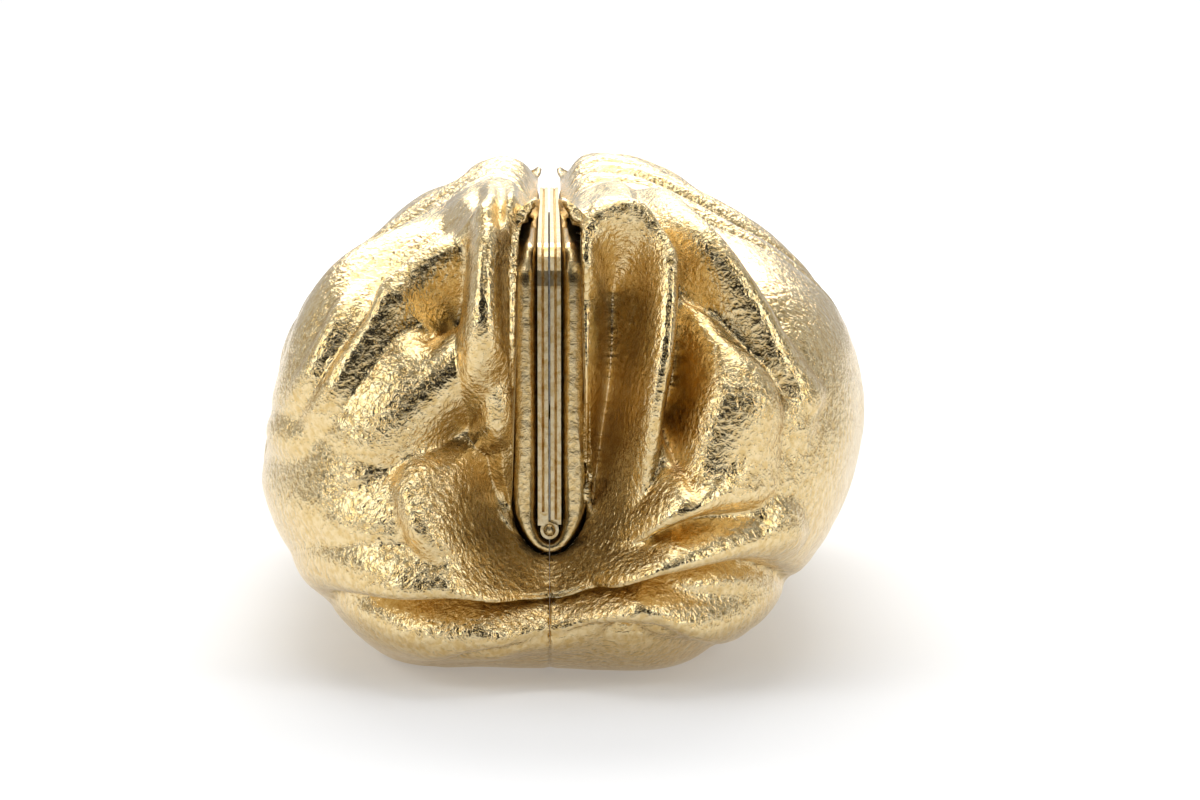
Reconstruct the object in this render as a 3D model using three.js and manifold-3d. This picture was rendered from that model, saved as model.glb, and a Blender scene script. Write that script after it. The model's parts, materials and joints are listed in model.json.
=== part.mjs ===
// A soft leather pouch bag, gathered onto a hinged frame that is closed.
// Units are millimetres: +X runs across the bag, +Y along it and +Z up from its base.
// The origin is on the ground under the middle of the outline. The near end is at -Y.

import * as THREE from "three";
import { mergeVertices } from "three/addons/utils/BufferGeometryUtils.js";
import Module from "manifold-3d";

// Frame: two arches that turn on a rivet at each end
const frameLength = 298;
const frameRise = 84; // from the rivet's axis to the top of the arch
const hingeHeight = 43; // from the ground to the rivet's axis
const cornerRadius = 7.5; // along the middle of the arch
const closedGap = 0.6; // between the two arches
const barThickness = 3.1;
const barWidth = 9;
const barSetback = 0.8; // the bar's face lies behind the welt's face
const grooveDepth = 0.7; // the line along the middle of the bar
const clearance = 0.35;

// Welt: the padded leather roll round the outside of each arch
const weltWidth = 7.8;
const weltDepth = 10;
const curlHeight = 12.5; // over which the welt turns in under the rivet
const curlThickness = 4.4; // where the welt ends

// Hinge
const earRadius = 2.7;
const earThickness = 1.5;
const pinRadius = 1.05;
const pinClearance = 0.25;
const headOverhang = 0.8;
const headHeight = 1.1;

// Pouch
const leather = 1.6;
const leftReach = 87; // from the middle of the frame to the side
const rightReach = 94;
const crown = 9; // how far the gathered leather stands over the frame
const endBulge = 33; // how far the leather swells past the frame at each end
const straightLength = 184; // of the middle, which keeps its full girth
const endRoundness = 2.3; // 2 is an ellipse, more is squarer
const seamGap = 0.3;
const mouthSetback = 10; // how far behind the welt's face the leather starts
const neckLength = 26; // over which the leather turns away from the frame
const throatLength = 38; // over which it swells out round the rivet
const settling = 3.5; // how far the low leather sinks towards the ground
const settlingHeight = 26; // above which it doesn't sink
const foldWidth = 10; // the unit of the widths in the tables of folds
const foldHeight = 10; // the unit of their heights

// Worked out from those
const halfFrame = frameLength / 2;
const halfStraight = straightLength / 2;
const frameTop = hingeHeight + frameRise;
const pouchHeight = frameTop + crown;
const pouchHalfLength = halfFrame + endBulge;
const barInner = closedGap / 2;
const barOuter = barInner + barThickness;
const weltInner = barOuter + clearance;
const weltOuter = weltInner + weltWidth;
const weltMiddle = (weltInner + weltOuter) / 2;
const legX = weltOuter + clearance;
const curlDrop = earRadius + clearance + curlThickness / 2;
const hubDrop = curlDrop + curlThickness / 2 + clearance;
const cornerOuter = cornerRadius + weltDepth / 2;

// Cross-section of each side of the pouch, from the frame down to the seam under the base.
// out is a share of the reach, up a share of the height.
const rightSection = [
  { out: 0.05, up: 0.915 },
  { out: 0.06, up: 0.945 },
  { out: 0.1, up: 0.985 },
  { out: 0.18, up: 0.998 },
  { out: 0.29, up: 1 },
  { out: 0.44, up: 0.97 },
  { out: 0.61, up: 0.925 },
  { out: 0.75, up: 0.865 },
  { out: 0.855, up: 0.8 },
  { out: 0.925, up: 0.73 },
  { out: 0.97, up: 0.65 },
  { out: 0.995, up: 0.565 },
  { out: 1, up: 0.49 },
  { out: 0.985, up: 0.405 },
  { out: 0.96, up: 0.325 },
  { out: 0.92, up: 0.245 },
  { out: 0.86, up: 0.17 },
  { out: 0.77, up: 0.1 },
  { out: 0.65, up: 0.04 },
  { out: 0.5, up: 0 },
  { out: 0.26, up: 0 },
  { out: 0, up: 0 },
];
const leftSection = [
  { out: 0.05, up: 0.915 },
  { out: 0.06, up: 0.945 },
  { out: 0.1, up: 0.985 },
  { out: 0.17, up: 0.998 },
  { out: 0.26, up: 0.99 },
  { out: 0.385, up: 0.95 },
  { out: 0.53, up: 0.9 },
  { out: 0.68, up: 0.84 },
  { out: 0.8, up: 0.78 },
  { out: 0.875, up: 0.715 },
  { out: 0.92, up: 0.64 },
  { out: 0.945, up: 0.555 },
  { out: 0.97, up: 0.47 },
  { out: 0.995, up: 0.405 },
  { out: 1, up: 0.355 },
  { out: 0.975, up: 0.28 },
  { out: 0.93, up: 0.2 },
  { out: 0.86, up: 0.125 },
  { out: 0.76, up: 0.055 },
  { out: 0.65, up: 0.015 },
  { out: 0.5, up: 0 },
  { out: 0.26, up: 0 },
  { out: 0, up: 0 },
];

// Main folds of an end, each a bent line over the end view with a width and a height.
// line holds [out, up] as in the sections, at the start, the middle and the end, and height goes with it.
// width is at the start and the end, all in the fold units. A valley is below zero.
const leftEndFolds = [
  // Tube by the frame
  { line: [[0.15, 0.98], [0.22, 0.8], [0.2, 0.46]], width: [0.8, 0.8], height: [0.3, 0.7, 0.4] },
  // Pocket
  { line: [[0.3, 0.92], [0.4, 0.76], [0.46, 0.64]], width: [1.0, 1.1], height: [-0.4, -0.8, -0.3] },
  // Long ridge
  { line: [[0.2, 0.98], [0.55, 0.78], [0.84, 0.5]], width: [0.9, 1.0], height: [0.5, 0.7, 0.2] },
  // Hollow
  { line: [[0.22, 0.54], [0.38, 0.47], [0.52, 0.42]], width: [1.1, 1.2], height: [-0.4, -0.8, -0.4] },
  // Swelling
  { line: [[0.4, 0.4], [0.34, 0.32], [0.3, 0.26]], width: [1.0, 1.0], height: [0.3, 0.5, 0.2] },
  // Low lip
  { line: [[0.8, 0.26], [0.4, 0.23], [0, 0.2]], width: [1.1, 0.9], height: [0.2, 0.5, 0.4] },
  // Low crease
  { line: [[0.76, 0.17], [0.38, 0.14], [0, 0.12]], width: [0.9, 0.9], height: [-0.3, -0.6, -0.5] },
];
const rightEndFolds = [
  // Deep pocket
  { line: [[0.24, 0.86], [0.25, 0.66], [0.2, 0.34]], width: [0.9, 0.9], height: [-0.6, -1.0, -0.5] },
  // Tube beyond it
  { line: [[0.3, 0.96], [0.42, 0.72], [0.36, 0.36]], width: [0.9, 0.9], height: [0.4, 0.7, 0.3] },
  // Slot
  { line: [[0.46, 0.78], [0.52, 0.6], [0.5, 0.42]], width: [1.0, 1.0], height: [-0.3, -0.6, -0.3] },
  // Swelling
  { line: [[0.6, 0.72], [0.68, 0.54], [0.64, 0.42]], width: [1.0, 1.1], height: [0.2, 0.5, 0.2] },
  // Long ridge
  { line: [[0.2, 1.0], [0.56, 0.82], [0.86, 0.56]], width: [0.8, 0.9], height: [0.6, 0.7, 0.2] },
  // Shelf
  { line: [[0.1, 0.26], [0.42, 0.33], [0.8, 0.36]], width: [1.1, 1.2], height: [0.2, 0.6, 0.2] },
  // Low crease
  { line: [[0, 0.12], [0.38, 0.19], [0.76, 0.22]], width: [0.9, 0.9], height: [-0.5, -0.7, -0.3] },
];

// Gathers along the top. at is a share of the half length of the straight middle,
// reach a share of the girth, lean how far the gather drifts along the bag on its way down.
const rightGathers = [
  { at: -1.04, width: 0.8, height: 0.5, reach: 0.5, lean: -0.3 },
  { at: -0.86, width: 0.6, height: -0.8, reach: 0.4, lean: -0.2 },
  { at: -0.66, width: 0.8, height: 0.5, reach: 0.6, lean: -0.2 },
  { at: -0.47, width: 0.6, height: -0.9, reach: 0.34, lean: 0.1 },
  { at: -0.27, width: 0.9, height: 0.5, reach: 0.5, lean: 0 },
  { at: -0.05, width: 0.6, height: -0.8, reach: 0.42, lean: 0.1 },
  { at: 0.15, width: 0.8, height: 0.5, reach: 0.62, lean: 0.1 },
  { at: 0.36, width: 0.6, height: -0.9, reach: 0.36, lean: -0.1 },
  { at: 0.56, width: 0.8, height: 0.5, reach: 0.5, lean: 0.2 },
  { at: 0.77, width: 0.6, height: -0.8, reach: 0.4, lean: 0.2 },
  { at: 0.98, width: 0.8, height: 0.5, reach: 0.5, lean: 0.3 },
];
const leftGathers = [
  { at: -0.96, width: 0.7, height: -0.8, reach: 0.42, lean: -0.3 },
  { at: -0.76, width: 0.8, height: 0.5, reach: 0.56, lean: -0.2 },
  { at: -0.57, width: 0.6, height: -0.9, reach: 0.38, lean: 0 },
  { at: -0.36, width: 0.9, height: 0.5, reach: 0.5, lean: -0.1 },
  { at: -0.16, width: 0.6, height: -0.8, reach: 0.4, lean: 0.1 },
  { at: 0.06, width: 0.8, height: 0.5, reach: 0.6, lean: 0 },
  { at: 0.26, width: 0.6, height: -0.9, reach: 0.36, lean: 0.1 },
  { at: 0.46, width: 0.8, height: 0.5, reach: 0.52, lean: 0.1 },
  { at: 0.67, width: 0.6, height: -0.8, reach: 0.42, lean: 0.2 },
  { at: 0.88, width: 0.8, height: 0.5, reach: 0.5, lean: 0.2 },
  { at: 1.06, width: 0.6, height: -0.7, reach: 0.36, lean: 0.3 },
];

// How the mouth of the pouch goes round the frame's corner, from the leg's side to the top.
// turn is in degrees, out goes from the leg's groove to the top, side from the leg to the gap.
const mouthCorner = [
  { turn: 0, out: 0, side: 1 },
  { turn: 20, out: 0.5, side: 1 },
  { turn: 38, out: 1, side: 0.92 },
  { turn: 52, out: 1.06, side: 0.55 },
  { turn: 66, out: 1.04, side: 0.18 },
  { turn: 90, out: 1, side: 0 },
];

// Cells of the panels and the swept pieces
const endCells = 15;
const straightCells = 18;
const girthCells = 23;
const weltSides = 10;
const cornerSteps = 4;
const curlSteps = 5;
const roundSteps = 16;

const gold = new THREE.MeshStandardMaterial({ color: 0xcda45a, roughness: 0.35, metalness: 0.9 });
const paleGold = new THREE.MeshStandardMaterial({ color: 0xdcbb7c, roughness: 0.3, metalness: 0.9 });
const brass = new THREE.MeshStandardMaterial({ color: 0xb08d4a, roughness: 0.3, metalness: 1 });

const manifoldModule = await Module();
manifoldModule.setup();

function smoothStep(value) {
  const t = Math.min(1, Math.max(0, value));
  return t * t * (3 - 2 * t);
}

function quarterRise(distance, length) {
  return Math.sin((Math.min(1, distance / length) * Math.PI) / 2);
}

// A closed solid from rings of points, each ring one more step along the piece.
function solidFromRings(rings) {
  const count = rings[0].length;
  const positions = rings.flat().flatMap((point) => [point.x, point.y, point.z]);
  const triangles = [];
  for (let i = 0; i + 1 < rings.length; i++) {
    for (let j = 0; j < count; j++) {
      const a = i * count + j;
      const b = i * count + ((j + 1) % count);
      triangles.push(a, b, a + count, b, b + count, a + count);
    }
  }
  const last = (rings.length - 1) * count;
  for (let j = 1; j + 1 < count; j++) {
    triangles.push(0, j + 1, j);
    triangles.push(last, last + j, last + j + 1);
  }
  return closedGeometry(positions, triangles);
}

// Faces are turned outwards if they point in.
function closedGeometry(positions, triangles) {
  const geometry = new THREE.BufferGeometry();
  geometry.setAttribute("position", new THREE.Float32BufferAttribute(positions, 3));
  geometry.setIndex(signedVolume(positions, triangles) < 0 ? triangles.slice().reverse() : triangles);
  return geometry;
}

function signedVolume(positions, triangles) {
  const corner = (index) => new THREE.Vector3().fromArray(positions, 3 * index);
  let volume = 0;
  for (let i = 0; i < triangles.length; i += 3) {
    const [a, b, c] = [0, 1, 2].map((k) => corner(triangles[i + k]));
    volume += a.dot(b.cross(c)) / 6;
  }
  return volume;
}

// Where the leather leaves the frame, from the rivet up the leg, round the corner and along the top.
function mouthRoute() {
  const legY = halfFrame - mouthSetback;
  const lipX = weltInner + clearance;
  const arcY = halfFrame - cornerOuter;
  const arcZ = frameTop - cornerOuter;
  const inner = legY - arcY;
  const outer = cornerOuter + clearance + leather;
  const corner = mouthCorner.map(({ turn, out, side }) => {
    const angle = THREE.MathUtils.degToRad(turn);
    const radius = inner + (outer - inner) * out;
    const x = lipX + (legX - lipX) * side;
    return new THREE.Vector3(x, arcY + radius * Math.cos(angle), arcZ + radius * Math.sin(angle));
  });
  const leg = [0, 0.35, 0.7].map(
    (share) => new THREE.Vector3(legX, legY, hingeHeight + (arcZ - hingeHeight) * share)
  );
  const top = new THREE.Vector3(lipX, halfStraight, arcZ + outer);
  return new THREE.CatmullRomCurve3([...leg, ...corner, top], false, "centripetal");
}

const mouth = mouthRoute();
mouth.arcLengthDivisions = 400;

// along is -2 at the near rivet, -1 to 1 over the straight middle and 2 at the far rivet.
function mouthPoint(along) {
  const end = Math.sign(along) || 1;
  const point = mouth.getPointAt(Math.min(1, 2 - Math.abs(along)));
  point.y = Math.abs(along) < 1 ? along * halfStraight : end * point.y;
  return point;
}

// The plain form of a panel: rings that open out from the rivet to the full cross-section.
function plainPoint(section, girth, reach, along, around) {
  const end = Math.sign(along) || 1;
  const share = Math.min(1, 2 - Math.abs(along));
  const angle = (share * Math.PI) / 2;
  const size = Math.sin(angle) ** (2 / endRoundness);
  const swell = (pouchHalfLength - halfStraight) * Math.max(0, Math.cos(angle)) ** (2 / endRoundness);
  const bodyY = Math.abs(along) < 1 ? along * halfStraight : end * (halfStraight + swell);
  const hub = (turn) => [
    legX * Math.cos((turn * Math.PI) / 2),
    hingeHeight - hubDrop * Math.sin((turn * Math.PI) / 2),
  ];
  const ring = (turn) => {
    const [hubX, hubZ] = hub(turn);
    const outline = section.getPointAt(turn);
    return [hubX + size * (outline.x * reach - hubX), hubZ + size * (outline.y * pouchHeight - hubZ)];
  };
  const [x, z] = ring(around);
  const [startX, startZ] = ring(0);
  const [hubX, hubZ] = hub(around);
  const start = mouthPoint(along);
  const neck = quarterRise(around * girth, neckLength);
  const fromRivet = Math.hypot(x - hubX, z - hubZ);
  const throat = Math.abs(along) < 1 ? 1 : quarterRise(fromRivet, throatLength);
  // Under the rivet the leather comes forward to the welt's face
  const innerY = end * (halfFrame - mouthSetback * (1 - smoothStep(2.2 * around)));
  const point = new THREE.Vector3(
    x + (start.x - startX) * (1 - neck),
    start.y + (innerY + (bodyY - innerY) * throat - start.y) * neck,
    settledHeight(z + (start.z - startZ) * (1 - neck))
  );
  // Folds start a little way from the rivet and from the frame
  const foldShare = smoothStep((around * girth) / 8) * smoothStep((fromRivet - 3) / 9);
  return { point, foldShare };
}

// The base lies flat further out than the rings alone would let it.
function settledHeight(z) {
  return Math.max(0, z - settling * (1 - smoothStep(z / settlingHeight)));
}

// Normals of a grid of points, from the steps along and around it.
function gridNormals(grid) {
  const columns = grid.length;
  const rows = grid[0].length;
  return grid.map((column, i) =>
    column.map((_, j) => {
      const alongStep = grid[Math.min(i + 1, columns - 1)][j].clone().sub(grid[Math.max(i - 1, 0)][j]);
      const aroundStep = column[Math.min(j + 1, rows - 1)].clone().sub(column[Math.max(j - 1, 0)]);
      return aroundStep.cross(alongStep).normalize();
    })
  );
}

// Height of the folds at a place in the end view.
function endFoldHeight(folds, reach, x, z) {
  let total = 0;
  for (const { line, width, height } of folds) {
    const [a, b, c] = line.map(([out, up]) => new THREE.Vector2(out * reach, up * pouchHeight));
    const control = b.clone().multiplyScalar(2).sub(a.clone().add(c).multiplyScalar(0.5));
    const curve = new THREE.QuadraticBezierCurve(a, control, c);
    let nearest = Infinity;
    let place = 0;
    for (let step = 0; step <= roundSteps; step++) {
      const distance = Math.hypot(...curve.getPoint(step / roundSteps).sub(new THREE.Vector2(x, z)));
      if (distance < nearest) {
        nearest = distance;
        place = step / roundSteps;
      }
    }
    const spread = (width[0] + (width[1] - width[0]) * place) * foldWidth;
    const rise =
      place < 0.5
        ? height[0] + (height[1] - height[0]) * smoothStep(2 * place)
        : height[1] + (height[2] - height[1]) * smoothStep(2 * place - 1);
    total += rise * foldHeight * Math.exp(-((nearest / spread) ** 2));
  }
  return total;
}

function gatherHeight(gathers, girth, along, around) {
  // Gathers start where the leather is past the welt
  const start = smoothStep((around * girth - 7) / 20);
  return gathers.reduce((total, { at, width, height, reach, lean }) => {
    const fade = 1 - smoothStep((around - 0.35 * reach) / (0.65 * reach));
    const offset = (along - at - lean * around) * halfStraight;
    const spread = width * foldWidth * (1 + 3 * around);
    return total + height * foldHeight * start * fade * Math.exp(-((offset / spread) ** 2));
  }, 0);
}

// One side of the pouch: a leather wall from the frame's mouth down to the seam.
function panelGeometry(side, reach, sectionTable, nearFolds, farFolds, gathers) {
  const outline = sectionTable.map(({ out, up }) => new THREE.Vector2(out, up));
  const section = new THREE.SplineCurve(outline);
  const scale = new THREE.Vector2(reach, pouchHeight);
  const sized = new THREE.SplineCurve(outline.map((p) => p.clone().multiply(scale)));
  const girth = sized.getLength();
  const columns = panelColumns();
  const turns = Array.from({ length: girthCells + 1 }, (_, j) => {
    const share = j / girthCells;
    return 0.55 * share + 0.45 * share * share;
  });
  const plain = columns.map((along) =>
    turns.map((around) => plainPoint(section, girth, reach, along, around))
  );
  const outer = plain.map((column, i) =>
    column.map(({ point, foldShare }, j) => {
      const ends = smoothStep((Math.abs(point.y) - halfStraight / 2) / (halfStraight / 2));
      const rows = point.y < 0 ? nearFolds : farFolds;
      const folds = ends * foldShare * endFoldHeight(rows, reach, point.x, point.z);
      const lift = folds + gatherHeight(gathers, girth, columns[i], turns[j]);
      return keepClear(point.clone().addScaledVector(outwards(point), lift), 0);
    })
  );
  const normals = gridNormals(outer);
  const inner = outer.map((column, i) =>
    column.map((point, j) => keepClear(point.clone().addScaledVector(normals[i][j], -leather), leather))
  );
  // The seam's edge stands on its own line
  for (const grid of [outer, inner]) {
    for (const column of grid) {
      column[girthCells].x = seamGap / 2;
    }
  }
  return wallBetween(outer, inner, side);
}

// The way that a fold stands out: away from the middle of the hollow inside.
function outwards(point) {
  const heartY = THREE.MathUtils.clamp(point.y, -halfStraight, halfStraight);
  return point.clone().sub(new THREE.Vector3(legX, heartY, 0.45 * pouchHeight)).normalize();
}

// Leather stays over the ground, on its own side of the seam and beside the welt's leg.
function keepClear(point, lowest) {
  const besideLeg = 1 - smoothStep((Math.abs(point.y) - halfFrame - 5) / 8);
  const legHigh = smoothStep((point.z - hingeHeight) / 4) * smoothStep((frameTop - 2 - point.z) / 4);
  point.x = Math.max(point.x, seamGap / 2, legX * besideLeg * legHigh);
  point.z = Math.max(point.z, lowest);
  return point;
}

function panelColumns() {
  const end = Array.from({ length: endCells }, (_, i) => i / endCells);
  const middle = Array.from({ length: straightCells + 1 }, (_, i) => (2 * i) / straightCells - 1);
  return [...end.map((share) => share - 2), ...middle, ...end.map((share) => 2 - share).reverse()];
}

// A closed wall from an outer and an inner grid of points, joined round their four edges.
function wallBetween(outer, inner, side) {
  const rows = outer[0].length;
  const size = outer.length * rows;
  const positions = [outer, inner].flat(2).flatMap((point) => [side * point.x, point.y, point.z]);
  const triangles = [];
  const quad = (a, b, c, d) => triangles.push(a, b, c, a, c, d);
  for (let i = 0; i + 1 < outer.length; i++) {
    for (let j = 0; j + 1 < rows; j++) {
      const a = i * rows + j;
      quad(a, a + 1, a + rows + 1, a + rows);
      quad(size + a, size + a + rows, size + a + rows + 1, size + a + 1);
    }
  }
  const edge = (a, b) => quad(b, a, size + a, size + b);
  for (let i = 0; i + 1 < outer.length; i++) {
    const a = i * rows;
    edge(a + rows, a);
    edge(a + rows - 1, a + 2 * rows - 1);
  }
  const lastColumn = (outer.length - 1) * rows;
  for (let j = 0; j + 1 < rows; j++) {
    edge(j, j + 1);
    edge(lastColumn + j + 1, lastColumn + j);
  }
  return closedGeometry(positions, triangles);
}

// The line of an arch from one foot to the other, at a depth behind the welt's face.
function archStations(depth, footZ) {
  const radius = cornerOuter - depth;
  const arcY = halfFrame - cornerOuter;
  const arcZ = frameTop - cornerOuter;
  const near = [{ y: -halfFrame + depth, z: footZ, angle: Math.PI }];
  for (let step = 0; step <= cornerSteps; step++) {
    const angle = Math.PI - (step / cornerSteps) * (Math.PI / 2);
    near.push({ y: -arcY + radius * Math.cos(angle), z: arcZ + radius * Math.sin(angle), angle });
  }
  const far = near.map(({ y, z, angle }) => ({ y: -y, z, angle: Math.PI - angle })).reverse();
  return [...near, ...far];
}

function weltGeometry(side) {
  const half = weltWidth / 2;
  const curlFoot = hingeHeight - curlDrop;
  const curlX = seamGap / 2;
  const curl = Array.from({ length: curlSteps }, (_, step) => {
    const angle = (step / curlSteps) * (Math.PI / 2);
    const grown = 1 - Math.cos(angle);
    return {
      x: curlX + (weltMiddle - curlX) * Math.sin(angle),
      z: curlFoot + curlHeight * grown,
      tilt: Math.atan2((weltMiddle - curlX) * Math.cos(angle), curlHeight * Math.sin(angle)),
      half: curlThickness / 2 + (half - curlThickness / 2) * grown,
    };
  });
  const profile = Array.from({ length: weltSides }, (_, j) => {
    const angle = (2 * Math.PI * (j + 0.5)) / weltSides;
    return [roundedCosine(Math.cos(angle)), roundedCosine(Math.sin(angle))];
  });
  const middleY = halfFrame - weltDepth / 2;
  const curlRing = ({ x, z, tilt, half: width }, end) =>
    profile.map(([across, out]) => {
      const offset = width * across;
      const y = end * (middleY + (weltDepth / 2) * out);
      const placed = Math.max(x + offset * Math.cos(tilt), seamGap / 2);
      return new THREE.Vector3(side * placed, y, z - offset * Math.sin(tilt));
    });
  const archRing = ({ y, z, angle }) =>
    profile.map(([across, out]) => {
      const reach = (weltDepth / 2) * out;
      const x = weltMiddle + half * across;
      return new THREE.Vector3(side * x, y + reach * Math.cos(angle), z + reach * Math.sin(angle));
    });
  const rings = [
    ...curl.map((station) => curlRing(station, -1)),
    ...archStations(weltDepth / 2, curlFoot + curlHeight).map(archRing),
    ...curl.map((station) => curlRing(station, 1)).reverse(),
  ];
  return solidFromRings(rings);
}

// Gives a circle's cosine the flatter sides of a padded strip.
function roundedCosine(value) {
  return Math.sign(value) * Math.abs(value) ** 0.75;
}

function frameGeometry(side) {
  const legFoot = hingeHeight + earRadius + clearance;
  const face = barWidth / 2;
  const ridge = barThickness / 2;
  const line = barThickness / 8;
  const profile = [
    [-ridge, -face],
    [ridge, -face],
    [ridge, face],
    [line, face],
    [0, face - grooveDepth],
    [-line, face],
    [-ridge, face],
  ];
  const middle = barInner + barThickness / 2;
  const rings = archStations(barSetback + barWidth / 2, legFoot).map(({ y, z, angle }) =>
    profile.map(([across, out]) => {
      const x = side * (middle + across);
      return new THREE.Vector3(x, y + out * Math.cos(angle), z + out * Math.sin(angle));
    })
  );
  let solid = manifoldOf(solidFromRings(rings));
  for (const end of [-1, 1]) {
    solid = solid.add(manifoldOf(earGeometry(side, end)));
  }
  return geometryOf(solid);
}

// The left ear lies in front of the right one, seen from outside.
function earFace(side) {
  const front = halfFrame - barSetback;
  return side < 0 ? front : front - earThickness - clearance;
}

// A drop-shaped ear that runs up into the foot of the leg.
function earGeometry(side, end) {
  const shape = new THREE.Shape();
  const top = earRadius + clearance + barWidth / 4;
  shape.moveTo(side * barInner, top);
  shape.lineTo(side * barOuter, top);
  shape.lineTo(side * barOuter, earRadius / 2);
  const startAngle = Math.asin(0.5);
  for (let step = 0; step <= roundSteps; step++) {
    const angle = startAngle - (step / roundSteps) * (Math.PI + startAngle);
    shape.lineTo(side * earRadius * Math.cos(angle), earRadius * Math.sin(angle));
  }
  shape.lineTo(-side * earRadius * Math.cos(startAngle), earRadius / 2);
  shape.lineTo(side * barInner, earRadius * 0.95);
  // A hole runs round the other way than its outline
  const hole = new THREE.Path();
  hole.absarc(0, 0, pinRadius + pinClearance, 0, 2 * Math.PI, side < 0);
  shape.holes.push(hole);
  const settings = { depth: earThickness, bevelEnabled: false, curveSegments: 8 };
  const geometry = new THREE.ExtrudeGeometry(shape, settings);
  geometry.rotateX(Math.PI / 2);
  const back = end < 0 ? -earFace(side) + earThickness : earFace(side);
  geometry.translate(0, back, hingeHeight);
  return geometry;
}

function manifoldOf(geometry) {
  geometry.deleteAttribute("normal");
  geometry.deleteAttribute("uv");
  const merged = mergeVertices(geometry, 1e-4);
  const vertProperties = merged.attributes.position.array;
  const triVerts = new Uint32Array(merged.index.array);
  return new manifoldModule.Manifold(new manifoldModule.Mesh({ numProp: 3, vertProperties, triVerts }));
}

function geometryOf(solid) {
  const mesh = solid.getMesh();
  const geometry = new THREE.BufferGeometry();
  geometry.setAttribute("position", new THREE.Float32BufferAttribute(mesh.vertProperties, 3));
  geometry.setIndex(Array.from(mesh.triVerts));
  return geometry;
}

// A rivet through both ears, with a domed head outside and a flat one inside.
function rivetGeometry(end) {
  const headRadius = pinRadius + headOverhang;
  const front = earFace(-1) + clearance;
  const back = earFace(1) - earThickness - clearance;
  const dome = Array.from({ length: 5 }, (_, step) => {
    const angle = (step / 4) * (Math.PI / 2);
    return new THREE.Vector2(headRadius * Math.cos(angle), front + headHeight * Math.sin(angle));
  });
  dome[4].x = 0;
  const outline = [
    new THREE.Vector2(0, back - headHeight / 2),
    new THREE.Vector2(headRadius, back - headHeight / 2),
    new THREE.Vector2(headRadius, back),
    new THREE.Vector2(pinRadius, back),
    new THREE.Vector2(pinRadius, front),
    ...dome,
  ];
  const geometry = new THREE.LatheGeometry(outline, roundSteps);
  if (end < 0) {
    geometry.rotateX(Math.PI);
  }
  geometry.translate(0, 0, hingeHeight);
  return geometry;
}

const bag = new THREE.Group();

function addPiece(name, geometry, material) {
  const mesh = new THREE.Mesh(geometry, material);
  mesh.name = name;
  bag.add(mesh);
}

// Each end has the same folds when the bag is turned about, so a panel's ends differ.
const leftPanel = panelGeometry(-1, leftReach, leftSection, leftEndFolds, rightEndFolds, leftGathers);
const rightPanel = panelGeometry(1, rightReach, rightSection, rightEndFolds, leftEndFolds, rightGathers);

addPiece("panel_left", leftPanel, gold);
addPiece("panel_right", rightPanel, gold);
addPiece("welt_left", weltGeometry(-1), gold);
addPiece("welt_right", weltGeometry(1), gold);
addPiece("frame_left", frameGeometry(-1), paleGold);
addPiece("frame_right", frameGeometry(1), paleGold);
addPiece("hinge_rivet_near", rivetGeometry(-1), brass);
addPiece("hinge_rivet_far", rivetGeometry(1), brass);

// The origin is under the middle of the whole outline, and the sides bulge unequally
const outline = new THREE.Box3().setFromObject(bag);
const middle = outline.getCenter(new THREE.Vector3());
bag.position.set(-middle.x, -middle.y, -outline.min.z);

export default bag;
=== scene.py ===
# %% [markdown]
# # A gold leather pouch bag
# The bag is two soft leather sides, gathered onto a hinged frame. The measured parts come from the
# CAD model as a fixed frame, and this lesson dresses them: leather sides with deep folds, padded
# rolls round the frame, and gold foil finishes. All shapes are worked out in millimetres.

# %% Load the frame
import json
import math

import bpy
import numpy as np
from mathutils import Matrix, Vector

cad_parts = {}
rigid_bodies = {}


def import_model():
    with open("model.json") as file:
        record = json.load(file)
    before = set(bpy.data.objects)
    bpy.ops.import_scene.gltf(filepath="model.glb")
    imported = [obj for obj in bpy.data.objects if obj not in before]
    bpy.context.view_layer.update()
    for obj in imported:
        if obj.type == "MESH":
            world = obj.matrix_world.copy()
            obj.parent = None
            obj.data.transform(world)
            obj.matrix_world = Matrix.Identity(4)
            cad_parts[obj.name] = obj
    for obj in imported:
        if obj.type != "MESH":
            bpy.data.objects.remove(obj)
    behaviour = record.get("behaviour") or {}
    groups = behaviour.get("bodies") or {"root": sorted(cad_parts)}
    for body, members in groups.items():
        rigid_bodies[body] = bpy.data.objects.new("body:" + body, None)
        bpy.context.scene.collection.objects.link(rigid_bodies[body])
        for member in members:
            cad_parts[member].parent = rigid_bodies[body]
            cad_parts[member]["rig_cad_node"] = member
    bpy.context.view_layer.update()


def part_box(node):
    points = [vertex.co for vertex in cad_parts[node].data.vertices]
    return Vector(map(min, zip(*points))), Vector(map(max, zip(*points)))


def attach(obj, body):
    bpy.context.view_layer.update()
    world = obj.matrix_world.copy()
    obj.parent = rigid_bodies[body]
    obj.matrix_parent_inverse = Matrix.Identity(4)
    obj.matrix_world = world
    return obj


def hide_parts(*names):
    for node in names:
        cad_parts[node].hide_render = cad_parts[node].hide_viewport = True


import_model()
MM = 0.001

# %% [markdown]
# The frame gives the sizes. Reading them from the parts' boxes keeps the looks in step with the CAD
# model: if the frame of the bag is made longer there, the leather here follows.

# %% Sizes of the bag
def box_mm(node):
    """The lowest and highest corner of a CAD part, in millimetres."""
    low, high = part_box(node)
    return np.array(low) / MM, np.array(high) / MM


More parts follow.
